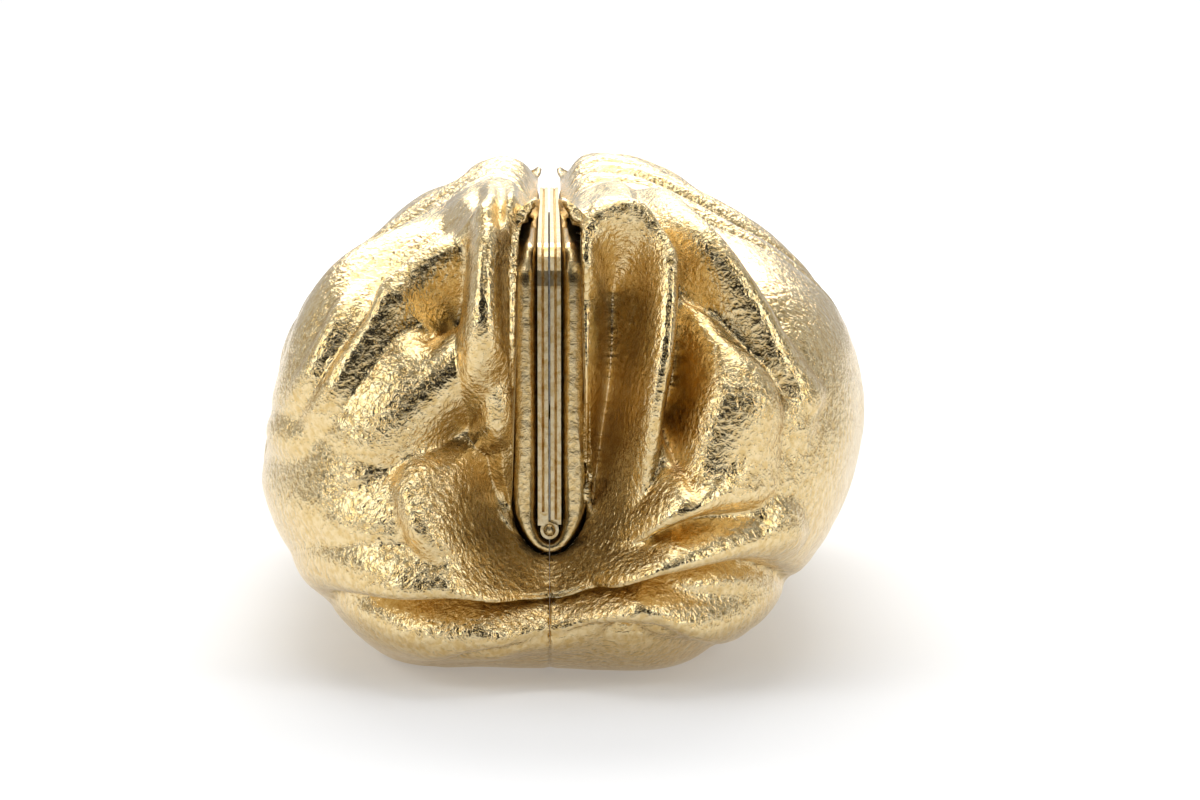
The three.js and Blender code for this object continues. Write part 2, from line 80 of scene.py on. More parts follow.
roll_low, roll_high = box_mm("welt_left")
middle_x = (roll_high[0] + box_mm("welt_right")[0][0]) / 2
middle_y = (roll_low[1] + roll_high[1]) / 2
half_frame = (roll_high[1] - roll_low[1]) / 2
frame_top = roll_high[2]
hinge_height = np.mean([corner[2] for corner in box_mm("hinge_rivet_near")])
reach = {-1: middle_x - box_mm("panel_left")[0][0], 1: box_mm("panel_right")[1][0] - middle_x}
crown = 12.0  # how far the leather stands over the frame
pouch_height = frame_top + crown
end_bulge = 33.0  # how far it swells past the frame at each end
half_straight = 92.0  # half the middle stretch, which keeps its full girth
pouch_half_length = half_frame + end_bulge
roll_width = 7.8
roll_depth = 10.0
roll_inner = 3.6  # from the middle of the frame to the roll
leather_tuck = 0.4  # how far the leather is tucked in behind the roll's rounded face
leg_x = roll_inner + roll_width - leather_tuck  # where the leather starts beside the frame's leg
leather = 1.5  # its thickness
print(f"frame {2 * half_frame:.1f} long, top {frame_top:.1f}, hinge {hinge_height:.1f}")
print(f"pouch reaches {reach[-1]:.1f} left and {reach[1]:.1f} right, {pouch_height:.1f} high")

# %% [markdown]
# The photo was taken from low down in front of the near end. The frame's foreshortened top edge
# gives the camera's height and distance: a near camera makes the far end of the frame much smaller.

# %% Camera
camera_distance = 1250.0  # from the middle of the bag
camera_height = 209.0
scale_at_middle = 3.05  # pixels for each millimetre, in an image 1200 pixels wide
image_width = 1200
look_down = 442  # pixels that the horizon lies above the middle of the image
look_right = 51  # pixels that the bag's middle lies left of the middle of the image

focal_pixels = scale_at_middle * camera_distance
camera_data = bpy.data.cameras.new("camera")
camera_data.sensor_width = 36
camera_data.lens = camera_data.sensor_width * focal_pixels / image_width
camera_data.clip_end = 100
camera = bpy.data.objects.new("camera", camera_data)
bpy.context.scene.collection.objects.link(camera)
camera.location = (middle_x * MM, (middle_y - camera_distance) * MM, camera_height * MM)
camera.rotation_euler = (
    math.pi / 2 - math.atan(look_down / focal_pixels),
    0,
    -math.atan(look_right / focal_pixels),
)
bpy.context.scene.camera = camera
print(f"lens {camera_data.lens:.1f} mm")

# %% [markdown]
# A curve is the backbone of most of these shapes. A Catmull-Rom line passes through a few listed
# points, and reading it by shares of its length spreads the vertices evenly.

# %% Helpers for smooth lines
def smooth_step(value):
    """0 below 0, 1 above 1, and 3t^2 - 2t^3 between."""
    t = np.clip(value, 0, 1)
    return t * t * (3 - 2 * t)


def dense_line(points, steps=24):
    """Many points on a Catmull-Rom line: each stretch is a cubic whose slopes are half the chord
    between its neighbours."""
    p = np.array(points, float)
    ends = np.vstack([2 * p[0] - p[1], p, 2 * p[-1] - p[-2]])
    t = (np.arange(steps) / steps)[:, None]
    a, b, c, d = ends[:-3, None], ends[1:-2, None], ends[2:-1, None], ends[3:, None]
    line = 0.5 * (
        2 * b + (c - a) * t + (2 * a - 5 * b + 4 * c - d) * t**2 + (3 * b - a - 3 * c + d) * t**3
    )
    return np.vstack([line.reshape(-1, p.shape[1]), p[-1:]])


def line_length(points):
    """The sum of the chords between the many points of a smooth line."""
    return np.linalg.norm(np.diff(dense_line(points), axis=0), axis=1).sum()


def along_line(points, shares):
    """The points of a smooth line at shares of its length, for an array of shares of any form."""
    line = dense_line(points)
    travelled = np.concatenate([[0], np.cumsum(np.linalg.norm(np.diff(line, axis=0), axis=1))])
    travelled /= travelled[-1]
    return np.stack([np.interp(shares, travelled, line[:, k]) for k in range(line.shape[1])], -1)


print(f"a quarter turn of radius 1 measures {line_length([(1, 0), (0.71, 0.71), (0, 1)]):.3f}")

# %% [markdown]
# Leather never folds evenly. Smooth noise on a lattice, drawn once from a fixed seed, makes every
# run give the same bag. Folding the noise back at its middle turns soft hills into creases.

# %% Helpers for uneven folds
lattice_size = 64


def soft_noise(x, y, seed):
    """Random values on a lattice of unit cells, blended with smooth steps, from -1 to 1."""
    lattice = np.random.RandomState(seed).uniform(-1, 1, (lattice_size, lattice_size))
    cell_x, cell_y = np.floor(x).astype(int), np.floor(y).astype(int)
    s, t = smooth_step(x - cell_x), smooth_step(y - cell_y)
    this_x, next_x = cell_x % lattice_size, (cell_x + 1) % lattice_size
    this_y, next_y = cell_y % lattice_size, (cell_y + 1) % lattice_size
    near = lattice[this_x, this_y] * (1 - s) + lattice[next_x, this_y] * s
    far = lattice[this_x, next_y] * (1 - s) + lattice[next_x, next_y] * s
    return near * (1 - t) + far * t


def creased_noise(x, y, seed):
    """1 minus 1.6 times the size of the noise, squared: thin ridges where the noise crosses 0."""
    return (1 - np.abs(soft_noise(x, y, seed)) * 1.6).clip(0) ** 2


print("one value of the noise", round(float(soft_noise(np.array(0.5), np.array(0.5), 1)), 3))

# %% [markdown]
# ## The leather sides
# Each side is one sheet, cut much wider than the frame and gathered into it. Cloth simulation could
# drape it, but the folds have to fall where the real ones do, so the sheet is a surface of two
# parameters. One runs along the bag from rivet to rivet, the other runs around from the frame's
# mouth to the seam under the base. Near each rivet the rings shrink towards it, like a purse's.

# %% Cross-sections of the sides
# out is a share of the reach and up a share of the height, from the frame's mouth to the seam
section_right = [
    (0.05, 0.915), (0.06, 0.945), (0.1, 0.985), (0.18, 0.998), (0.29, 0.99), (0.43, 0.95),
    (0.59, 0.895), (0.73, 0.84), (0.845, 0.78), (0.92, 0.72), (0.97, 0.65), (0.995, 0.565),
    (1, 0.49), (0.98, 0.405), (0.945, 0.325), (0.885, 0.245), (0.795, 0.17), (0.68, 0.1),
    (0.54, 0.04), (0.4, 0), (0.2, 0), (0, 0),
]
section_left = [
    (0.05, 0.915), (0.06, 0.945), (0.1, 0.985), (0.17, 0.998), (0.26, 0.985), (0.38, 0.935),
    (0.52, 0.875), (0.665, 0.815), (0.785, 0.76), (0.87, 0.705), (0.92, 0.64), (0.945, 0.555),
    (0.97, 0.47), (0.995, 0.405), (0.995, 0.355), (0.955, 0.28), (0.885, 0.2), (0.79, 0.125),
    (0.66, 0.055), (0.54, 0.015), (0.4, 0), (0.2, 0), (0, 0),
]
sections = {-1: np.array(section_left), 1: np.array(section_right)}
girth = {
    side: line_length(section * [reach[side], pouch_height]) for side, section in sections.items()
}
print("girth of the sides", {side: round(value) for side, value in girth.items()})

# %% [markdown]
# The mouth is the edge that is sewn to the frame. It runs up beside the roll's leg, crosses over
# the roll at the frame's corner, and then lies along the gap between the two bars.

# %% The mouth of the pouch
corner_outer = 12.5
leg_y = half_frame - 1.5  # the leather starts beside the roll, a little behind its face
curl_drop = 5.55  # from the rivet down to the foot of the roll's curl
curl_height = 13.5
curl_top = hinge_height - curl_drop + curl_height
lip_x = roll_inner + 0.35
arc_y, arc_z = half_frame - corner_outer, frame_top - corner_outer
mouth_radius = corner_outer + 0.7
# turn is in degrees, out goes from the leg's edge to the top's, side from the leg to the gap
mouth_corner = [
    (0, 0.5, 1), (10, 1.5, 1), (22, 2.3, 0.92), (33, 2.4, 0.5), (46, 1.9, 0.12), (66, 1.2, 0), (90, 1, 0),
]
mouth_line = [(leg_x, leg_y, curl_top + (arc_z - curl_top) * s) for s in (0, 0.3, 0.6, 0.8, 0.92)]
for turn, out, side_share in mouth_corner:
    radius = leg_y - arc_y + (mouth_radius - leg_y + arc_y) * out
    angle = math.radians(turn)
    x = lip_x + (leg_x - lip_x) * side_share
    mouth_line.append((x, arc_y + radius * math.cos(angle), arc_z + radius * math.sin(angle)))
mouth_line += [(lip_x, y, arc_z + mouth_radius) for y in np.linspace(arc_y, half_straight, 13)[1:]]
print(f"mouth line {line_length(mouth_line):.0f} mm from rivet to straight")

# %% [markdown]
# Without its folds a side is a long cushion, pulled in at each rivet. This plain form comes first,
# because it is easy to judge, and everything else only moves its points a little way out or in.

# %% The plain form of a side
end_roundness = 2.3  # 2 is an ellipse, more is squarer
neck_length = 13.0  # over which the leather turns away from the frame
throat_length = 58.0  # over which it swells out round the rivet
hub_drop = 7.5  # from the rivet down to the leather under the roll's curl
settling, settling_height = 3.5, 26.0  # how far the low leather sinks, and up to which height


def quarter_rise(distance, length):
    """The first quarter of a sine wave: 0 at distance 0, and 1 from the length on."""
    return np.sin(np.minimum(1, distance / length) * math.pi / 2)


def plain_side(side, along, around):
    """Rings that open from the hub at the rivet to the full cross-section: hub + size * (section -
    hub). along is -2 at the near rivet, -1 to 1 over the straight middle and 2 at the far rivet,
    around is 0 at the mouth and 1 at the seam. Gives the points and the distance from the hub."""
    end = np.where(along < 0, -1.0, 1.0)
    share = np.minimum(1, 2 - np.abs(along))
    angle = share * math.pi / 2
    size = np.sin(angle) ** (2 / end_roundness)
    swell = (pouch_half_length - half_straight) * np.cos(angle).clip(0) ** (2 / end_roundness)
    straight = np.abs(along) < 1
    body_y = np.where(straight, along * half_straight, end * (half_straight + swell))
    outline = along_line(sections[side] * [reach[side], pouch_height], around)
    mouth_start = sections[side][0] * [reach[side], pouch_height]
    turn = around * math.pi / 2
    hub_depth = curl_top - hinge_height + hub_drop
    hub = np.stack([leg_x * np.cos(turn).clip(0) ** 1.12, curl_top - hub_depth * np.sin(turn)], -1)
    ring = hub + size[..., None] * (outline - hub)
    # The crest keeps its height until the frame's corner
    crest = smooth_step((share - 0.38) / 0.25) * (1 - smooth_step((around - 0.05) / 0.3))
    ring[..., 1] += np.where(along < 0, 1, 0.5) * (1 - size) * (pouch_height - curl_top) * crest
    hub_start = np.array([leg_x, curl_top])
    ring_start = hub_start + size[..., None] * (mouth_start - hub_start)
    start = along_line(mouth_line, share)
    start_y = np.where(straight, along * half_straight, end * start[..., 1])
    neck = quarter_rise(around * girth[side], neck_length)
    from_hub = np.linalg.norm(ring - hub, axis=-1)
    opening = throat_length * (1 - 0.6 * smooth_step(2 * around - 0.3))
    throat = np.where(straight, 1, 1 - (1 - np.minimum(1, from_hub / opening)) ** 1.4)
    # Under the rivet the leather comes forward to the roll's face
    inner_y = end * (leg_y + 2.5 * smooth_step(2.2 * around))
    x = ring[..., 0] + (start[..., 0] - ring_start[..., 0]) * (1 - neck)
    y = start_y + (inner_y + (body_y - inner_y) * throat - start_y) * neck
    z = ring[..., 1] + (start[..., 2] - ring_start[..., 1]) * (1 - neck)
    z = np.maximum(0, z - settling * (1 - smooth_step(z / settling_height)))
    return np.stack([x, y, z], -1), from_hub


# %% [markdown]
# The big folds are what makes this bag. Each is drawn as a bent line on a picture plane that
# stands at the bag's near end, in millimetres right of the frame and up from the ground, as the eye
# sees them. A point of the leather takes the height of every fold line that it seems to lie near.
# A fold may be steeper on one side, which is what makes leather look as if it hangs over itself.

# %% Main folds of the ends
# line: (right, up) points. widths: left and right of the line, height: start, middle, end
# A side's folds are written with right pointing away from the frame
folds_left = [
    # The tube beside the frame, and the small pocket between it and the roll
    dict(line=[(13, 144), (18, 129), (18.5, 103), (17, 75)], widths=(4.5, 4), height=(5, 9, 4)),
    dict(line=[(13.5, 140), (14.5, 131)], widths=(2.2, 2.2), height=(-5, -6, -4)),
    # The deep pocket and the two long ridges over it, with a sharp valley between them
    dict(line=[(25, 128), (31, 114), (36, 105)], widths=(6, 6.5), height=(-8, -13, -6)),
    dict(line=[(14, 144), (27, 136), (48, 112), (62, 92), (75, 75)], widths=(4, 5), height=(4, 8, 3)),
    dict(line=[(20, 139), (34, 129), (47, 115), (53, 102), (70, 78)], widths=(2.4, 2.8), height=(-4, -8, -2)),
    dict(line=[(6, 151), (25, 143), (42, 130), (62, 106), (73, 83)], widths=(4.5, 6), height=(4, 8, 3)),
    # The hollow below, the small swelling beside it and the lip over the low crease
    dict(line=[(14, 89), (31, 72), (48, 63)], widths=(6, 8), height=(-5, -9, -4)),
    dict(line=[(34, 60), (30, 48), (27, 36)], widths=(7, 7), height=(3, 7, 4)),
    dict(line=[(19, 70), (17, 55), (12, 44)], widths=(5, 5), height=(-3, -6, -3)),
    dict(line=[(68, 31), (34, 30), (1, 27)], widths=(3.5, 6), height=(3, 6, 5)),
    dict(line=[(62, 27), (42, 25), (20, 24), (0, 24)], widths=(2.0, 2.4), height=(-4, -11, -9)),
    dict(line=[(62, 18), (31, 14), (0, 17)], widths=(4.5, 4.5), height=(2, 5, 4)),
    dict(line=[(34, 7), (22, 12), (0, 16)], widths=(1.5, 1.5), height=(-1, -2.5, -1)),
]
folds_right = [
    # The arch over the end of the roll, and the deep pocket inside it
    dict(line=[(11, 121), (13, 129), (19, 132.5), (27, 131.6), (33, 122.5), (32, 103), (29, 83), (24.5, 63),
               (21, 49)], widths=(3.6, 3.6), height=(6, 9, 4)),
    dict(line=[(20, 124), (20, 97), (16.5, 69), (12, 46)], widths=(6, 6), height=(-12, -17, -8)),
    # The dark slot beyond the arch and the broad swelling beside it
    dict(line=[(38, 113), (40, 92), (38, 75), (40, 60)], widths=(3, 3.4), height=(-7, -13, -5)),
    dict(line=[(48, 108), (54, 84), (52, 62)], widths=(8, 9), height=(3, 7, 3)),
    # Two long ridges with a sharp valley between them, and a third over them
    dict(line=[(20, 138), (38, 126), (54, 104), (71, 77)], widths=(4, 5), height=(3, 7, 2)),
    dict(line=[(22, 146), (33, 130), (43, 114), (66, 86)], widths=(2.4, 2.8), height=(-5, -10, -3)),
    dict(line=[(15, 153), (37, 131), (54, 110), (73, 84)], widths=(4, 5), height=(5, 9, 3)),
    dict(line=[(30, 146), (48, 128), (66, 106)], widths=(4, 5), height=(-3, -6, -2)),
    # The shelf under the hinge, the great low roll, its crease and the rolls at the foot
    dict(line=[(7, 42), (26, 49), (40, 56), (54, 58)], widths=(5, 6), height=(3, 7, 3)),
    dict(line=[(22, 40), (38, 47), (58, 50)], widths=(2.6, 3), height=(-3, -7, -3)),
    dict(line=[(3, 27), (20, 35), (43, 42), (66, 46)], widths=(5, 5), height=(4, 8, 3)),
    dict(line=[(-1, 25), (13, 27), (29, 32), (49, 34), (69, 31)], widths=(2.2, 2.6), height=(-9, -13, -6)),
    dict(line=[(3, 24), (20, 25), (37, 20), (54, 19), (71, 23)], widths=(4, 4), height=(4, 7, 3)),
    dict(line=[(17, 15), (29, 19), (43, 14)], widths=(1.8, 2.2), height=(-2, -5, -2)),
]
end_folds = {-1: folds_left, 1: folds_right}
print("folds drawn by hand", sum(len(rows) for rows in end_folds.values()))

# %% [markdown]
# A convex arch for each ridge, and the highest of them at each point, gives tubes of leather that
# meet in sharp valleys. Adding smooth bumps together would give soft dunes instead.

# %% How high the folds stand
picture_plane = 165.0  # from the middle of the bag to the plane on which the folds are drawn
ridge_strength, ridge_reach = 1.6, 1.8
valley_strength = 1.55


def as_seen(points):
    """The place on the picture plane where the eye sees a point: each point is carried along its
    ray from the camera's height and distance. The far end is seen by a like eye beyond it."""
    depth = np.abs(points[..., 1])
    carried = (camera_distance - picture_plane) / (camera_distance - depth)
    right = points[..., 0] * carried
    up = camera_height + (points[..., 2] - camera_height) * carried
    return np.stack([right, up], -1)


def fold_height(place, line, widths, height):
    """A ridge is an arch, height times 1 - (distance / reach)^2 down to 0, and a valley is height
    times exp(-(distance / width)^1.3), with the width of the side that the point is on."""
    path = dense_line(line, 8)
    start, step = path[:-1], np.diff(path, axis=0)
    best = np.full(place.shape[:-1], np.inf)
    share, sign = np.zeros_like(best), np.zeros_like(best)
    for k, (a, b) in enumerate(zip(start, step)):
        offset = place - a
        t = np.clip((offset @ b) / (b @ b), 0, 1)
        gap = offset - t[..., None] * b
        distance = np.hypot(gap[..., 0], gap[..., 1])
        closer = distance < best
        best = np.where(closer, distance, best)
        share = np.where(closer, (k + t) / len(start), share)
        sign = np.where(closer, b[0] * offset[..., 1] - b[1] * offset[..., 0], sign)
    width = np.where(sign > 0, widths[0], widths[1])
    rise = np.where(
        share < 0.5,
        height[0] + (height[1] - height[0]) * smooth_step(2 * share),
        height[1] + (height[2] - height[1]) * smooth_step(2 * share - 1),
    )
    if height[1] > 0:
        return ridge_strength * rise * (1 - (best / (ridge_reach * width)) ** 2).clip(0)
    return valley_strength * rise * np.exp(-((best / width) ** 1.3))


def end_height(place, rows):
    """The highest ridge at each place, less all the valleys, so that ridges meet in sharp lines."""
    heights = [fold_height(place, **row) for row in rows]
    ridges = np.max([rise for rise, row in zip(heights, rows) if row["height"][1] > 0], axis=0)
    return ridges + sum(rise for rise, row in zip(heights, rows) if row["height"][1] < 0)


top_of_arch = end_height(np.array([[19.0, 132.5]]), folds_right)[0]
print(f"the arch over the right roll stands {top_of_arch:.1f} mm out")

# %% [markdown]
# Along the frame the leather is gathered into uneven pleats. Ridges and valleys take turns, and
# each has its own width, height and reach, because even ones would look like a machine's.

# %% Gathers along the frame
def gather_rows(seed):
    """Uneven rows of ridge and valley in turn, each with its place, width, height and reach."""
    draw = np.random.RandomState(seed)
    rows, at, ridge = [], -1.0, True
    while at < 1:
        rows.append(
            dict(
                at=at,
                width=(7.5 if ridge else 4.2) * draw.uniform(0.8, 1.25),
                height=(2.4 if ridge else -5.0) * draw.uniform(0.7, 1.3),
                reach=(0.85 if ridge else 0.66) * draw.uniform(0.6, 1.2),
                lean=draw.uniform(-0.25, 0.25),
            )
        )
        at += draw.uniform(0.09, 0.15)
        ridge = not ridge
    return rows


gathers = {-1: gather_rows(3), 1: gather_rows(8)}
print("gathers along the frame", {side: len(rows) for side, rows in gathers.items()})


def gather_height(rows, ring_length, along, around):
    """Ridges and valleys that start past the roll, widen on their way down and fade out."""
    total = np.zeros(np.broadcast(along, around).shape)
    start = smooth_step((around * ring_length - 5) / 14)
    for row in rows:
        fade = 1 - smooth_step((around - 0.35 * row["reach"]) / (0.65 * row["reach"]))
        offset = (along - row["at"] - row["lean"] * around) * half_straight
        spread = row["width"] * (1 + 2.2 * around)
        total += row["height"] * start * fade * np.exp(-(np.abs(offset / spread) ** 1.8))
    return total


# %% [markdown]
# Between the folds soft hide is never flat. Long soft swellings and thin creases break up the
# mirror of the foil, and they run the way the leather is pulled.

# %% Wrinkles between the folds
fan_top = 150.0  # the height on the picture plane from which the wrinkles of an end fan out


def wrinkles(side, points, seen, from_hub, down):
    """Soft swellings less thin creases of three sizes. They run down the long sides, and at the ends
    they fan out from the top of the frame: across is the length of the bag along the sides and turns
    into the angle of the fan at the ends."""
    end = np.sign(points[..., 1])
    bearing = np.arctan2(seen[..., 0], np.maximum(fan_top - seen[..., 1], 1))
    fan = end * (half_straight + 62 * (1.45 - bearing))
    turned = smooth_step((np.abs(points[..., 1]) - 60) / 60)
    across = points[..., 1] * (1 - turned) + fan * turned
    bend = 7 * soft_noise(across / 35, down / 45, 11 + side)
    wobble = 4 * soft_noise(across / 14, down / 16, 15 + side)
    settle = smooth_step((down - 5) / 14) * smooth_step(from_hub / 10) * smooth_step(points[..., 2] / 8)
    height = (2.1 - turned) * soft_noise((across + bend) / 19, (down + bend) / 70, 21 + side)
    height -= 0.6 * creased_noise((across + bend + wobble) / 17, (down - bend) / 45, 31 + side)
    height -= 0.22 * creased_noise((across - bend + wobble) / 8, (down + wobble) / 13, 41 + side)
    height -= 0.1 * creased_noise((across + wobble) / 4, (down + bend) / 6, 51 + side)
    return settle * height


def hub_pleats(side, from_hub, around):
    """Pleats that run out from the rivet: noise that turns with the ring, times d * exp(1 - d),
    which is strongest 12 mm out."""
    reach_out = from_hub / 12
    return 2.6 * reach_out * np.exp(1 - reach_out) * soft_noise(9 * around, 0.08 * from_hub, 71 + side)


# %% [markdown]
# Now the parts of the height come together. Low down both sides have to meet in one seam, and near
# the outline the folds are kept low, so that the bag keeps the outline of the photo.

# %% The lift of the leather
ends_from, ends_over = 70.0, 50.0  # from the middle: where an end's folds begin, and their growth
seam_width = 14.0  # of the low strip beside the seam where both sides share one height
lift_sideways = 0.25  # how much of a fold is left where the leather faces sideways
heart_height = 0.45  # as a share of the pouch's height
seam_groove, seam_groove_width = 0.45, 1.2


def outward_directions(points):
    """Unit arrows from a line inside the hollow, beside the frame and a little under half the
    height, to each point."""
    heart = np.stack(
        [
            np.full(points.shape[:-1], leg_x),
            np.clip(points[..., 1], -half_straight, half_straight),
            np.full(points.shape[:-1], heart_height * pouch_height),
        ],
        -1,
    )
    outwards = points - heart
    return outwards / np.linalg.norm(outwards, axis=-1, keepdims=True)


def leather_lift(side, points, outwards, from_hub, along, around):
    """Millimetres out or in: the folds of each end, lower where they face sideways, and the
    gathers, wrinkles and pleats, less a groove along the seam."""
    seen = as_seen(points)
    at_end = smooth_step((np.abs(points[..., 1]) - ends_from) / ends_over)
    # Low down, both sides take the same height at the seam, so that their edges meet
    low = 1 - smooth_step((points[..., 2] - hinge_height + hub_drop) / 4)
    by_seam = low * (1 - smooth_step(points[..., 0] / seam_width))
    at_seam = seen * [0, 1]
    shared = (end_height(at_seam, folds_left) + end_height(at_seam, folds_right)) / 2
    lift = np.zeros(around.shape)
    for end in (-1, 1):
        # The far end is the near end turned round, so it has the other side's folds
        rows = end_folds[side if end < 0 else -side]
        here = at_end * (np.sign(points[..., 1]) == end)
        own = end_height(seen, rows)
        if end > 0:
            own *= 1 - 0.6 * smooth_step((points[..., 2] - 95) / 25)
        lift += here * (own * (1 - by_seam) + shared * by_seam)
    # Folds are lower where the leather turns away from the eye, which keeps the outline calm
    facing = smooth_step((np.abs(outwards[..., 1]) + 0.45 * outwards[..., 2]) / 0.7)
    lift *= lift_sideways + (1 - lift_sideways) * facing
    lift *= smooth_step(around * girth[side] / 7) * smooth_step((from_hub - 1.5) / 7)
    lift += (1 - 0.85 * at_end) * gather_height(gathers[side], girth[side], along, around)
    lift += (1 - by_seam) * wrinkles(side, points, seen, from_hub, around * girth[side])
    lift += (1 - by_seam) * smooth_step(6 * around) * hub_pleats(side, from_hub, around)
    lift -= seam_groove * low * np.exp(-((points[..., 0] / seam_groove_width) ** 2))
    return lift


# %% [markdown]
# Moving the points can push some of them where real leather can't be: under the table, past the
# seam or into the frame. They are put back to the nearest free place, and the grid is ready.

# %% The folded side
columns, rows_around = 300, 150
end_columns = 96  # of the columns, at each end
seam_gap = 0.02  # from the middle plane to the edge of a side


def keep_clear(points):
    """Leather stays over the ground, on its own side of the seam and beside the frame's leg."""
    x, y, z = points[..., 0], points[..., 1], points[..., 2]
    beside = 1 - smooth_step((np.abs(y) - half_frame - 1) / 8)
    legs = smooth_step((z - curl_top) / 4) * smooth_step((arc_z + 2 - z) / 4)
    points[..., 0] = np.maximum(x, np.maximum(seam_gap, leg_x * beside * legs))
    # Over the roll's corner the leather keeps outside the arc
    arc_from = np.maximum(np.abs(y) - arc_y, 0)
    roof = arc_z + np.sqrt(np.maximum((corner_outer + leather) ** 2 - arc_from**2, 0))
    over_roll = (x < leg_x) & (arc_from < corner_outer + leather) & (z > arc_z + 2)
    points[..., 2] = np.where(over_roll, np.maximum(z, roof), np.maximum(z, 0))


def folded_side(side):
    """The plain form, moved out or in by the lift of the leather. Most of the columns lie in the
    two ends, and the rows are closest near the mouth, where the folds are finest."""
    end_share = np.linspace(0, 1, end_columns) ** 0.9
    middle = np.linspace(-1, 1, columns - 2 * end_columns + 2)[1:-1]
    along = np.concatenate([end_share - 2, middle, (2 - end_share)[::-1]])
    share = np.linspace(0, 1, rows_around)
    along, around = np.meshgrid(along, 0.65 * share + 0.35 * share**2, indexing="ij")
    points, from_hub = plain_side(side, along, around)
    outwards = outward_directions(points)
    lift = leather_lift(side, points, outwards, from_hub, along, around)
    points = points + outwards * lift[..., None]
    keep_clear(points)
    points[:, -1, 0] = seam_gap
    return points


folded = {side: folded_side(side) for side in (-1, 1)}
for side, points in folded.items():
    print(f"side {side}: {points.shape[0]} x {points.shape[1]} points, {points[..., 2].max():.1f} mm high")

# %% [markdown]
# A mesh is only points and the faces between them. The same few lines serve every sheet and tube
# here, and the leather's own lengths are kept as a UV map.

# %% Put a grid into a mesh
def leather_lengths(points):
    """For each point of a grid, the leather's length up to it along its column and along its row,
    as sums of the steps between neighbours, in decimetres."""
    length_u = np.zeros(points.shape[:2])
    length_u[1:] = np.cumsum(np.linalg.norm(np.diff(points, axis=0), axis=-1), axis=0)
    length_v = np.zeros(points.shape[:2])
    length_v[:, 1:] = np.cumsum(np.linalg.norm(np.diff(points, axis=1), axis=-1), axis=1)
    return np.stack([length_u, length_v], -1) / 100


def mesh_from_grid(name, points, side, wrap=False):
    """A mesh of quads over a grid of millimetre points, mirrored for the left side and placed in
    metres, with a UV map of the leather's own lengths. wrap closes the grid to a tube."""
    across, down = points.shape[:2]
    index = np.arange(across * down).reshape(across, down)
    quads = np.stack([index[:-1, :-1], index[1:, :-1], index[1:, 1:], index[:-1, 1:]], -1).reshape(-1, 4)
    if wrap:
        seam = np.stack([index[:-1, -1], index[1:, -1], index[1:, 0], index[:-1, 0]], -1)
        quads = np.vstack([quads, seam])
    # Open sheets and closed tubes run round the other way, and all faces have to point outwards
    if (side > 0) != wrap:
        quads = quads[:, ::-1]
    placed = (points * [side, 1, 1] + [middle_x, middle_y, 0]) * MM
    mesh = bpy.data.meshes.new(name)
    mesh.from_pydata(placed.reshape(-1, 3).tolist(), [], quads.tolist())
    mesh.polygons.foreach_set("use_smooth", np.ones(len(mesh.polygons), bool))
    uv = leather_lengths(points).reshape(-1, 2)
    corners = np.empty(len(mesh.loops), int)
    mesh.loops.foreach_get("vertex_index", corners)
    layer = mesh.uv_layers.new(name="leather")
    layer.data.foreach_set("uv", uv[corners].ravel())
    piece = bpy.data.objects.new(name, mesh)
    bpy.context.scene.collection.objects.link(piece)
    return piece


print(f"a side measures {leather_lengths(folded[1])[-1, rows_around // 2, 0]:.2f} dm along its middle row")

# %% [markdown]
# Real leather has a thickness, which shows where it meets the frame.

# %% The two sides of the pouch
pouch = {}
for side, word in ((-1, "left"), (1, "right")):
    piece = mesh_from_grid(f"pouch_{word}", folded[side], side)
    wall = piece.modifiers.new("wall", "SOLIDIFY")
    wall.thickness = leather * MM
    wall.offset = -1
    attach(piece, "root")
    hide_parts(f"panel_{word}")
    pouch[side] = piece
    measured = sum(face.area for face in piece.data.polygons)
    print(piece.name, "faces", len(piece.data.polygons), f"area {measured:.4f} m2 of 0.14 cut")

# %% [markdown]
# ## The padded rolls
# A roll of padded leather runs round the outside of each frame arch. At the foot of each leg it
# turns in under the rivet, thins out and meets its twin. It is a rounded profile carried along that
# line, and leather that is bent round a corner shows fine creases across.

# %% The line of a roll
curl_thickness = 4.4  # of the roll at the foot of its curl
curl_gap = 0.15  # from the middle plane to the foot of the curl
roll_middle = roll_inner + roll_width / 2


def roll_line():
    """The middle line of a roll from the seam under one rivet to the seam under the other."""
    half = []
    foot = hinge_height - curl_drop
    for turn in np.linspace(0, math.pi / 2, 14):
        x = curl_gap + (roll_middle - curl_gap) * math.sin(turn)
        half.append((x, -(half_frame - roll_depth / 2), foot + curl_height * (1 - math.cos(turn))))
    for share in np.linspace(0.08, 1, 18):
        z = foot + curl_height + (arc_z - foot - curl_height) * share
        half.append((roll_middle, -(half_frame - roll_depth / 2), z))
    radius = corner_outer - roll_depth / 2
    for turn in np.linspace(0, math.pi / 2, 10)[1:]:
        half.append((roll_middle, -arc_y - radius * math.cos(turn), arc_z + radius * math.sin(turn)))
    half = np.array(half)
    far = half[::-1] * [1, -1, 1]
    # Points along the straight top too, because a smooth line swings out beside a long stretch
    straight = np.array([(roll_middle, y, half[-1, 2]) for y in np.linspace(-arc_y, arc_y, 80)[1:-1]])
    return np.vstack([half, straight, far])


print(f"a roll is {line_length(roll_line()):.0f} mm long")

# %% [markdown]
# The profile is an oval with its sides pressed a little flat, as padding is when leather is pulled
# tight over it. Towards the curl it gets narrower, because there is less padding near the hinge.

# %% The surface of a roll
roll_flatness = 0.78  # 1 is an ellipse, less is flatter at the sides


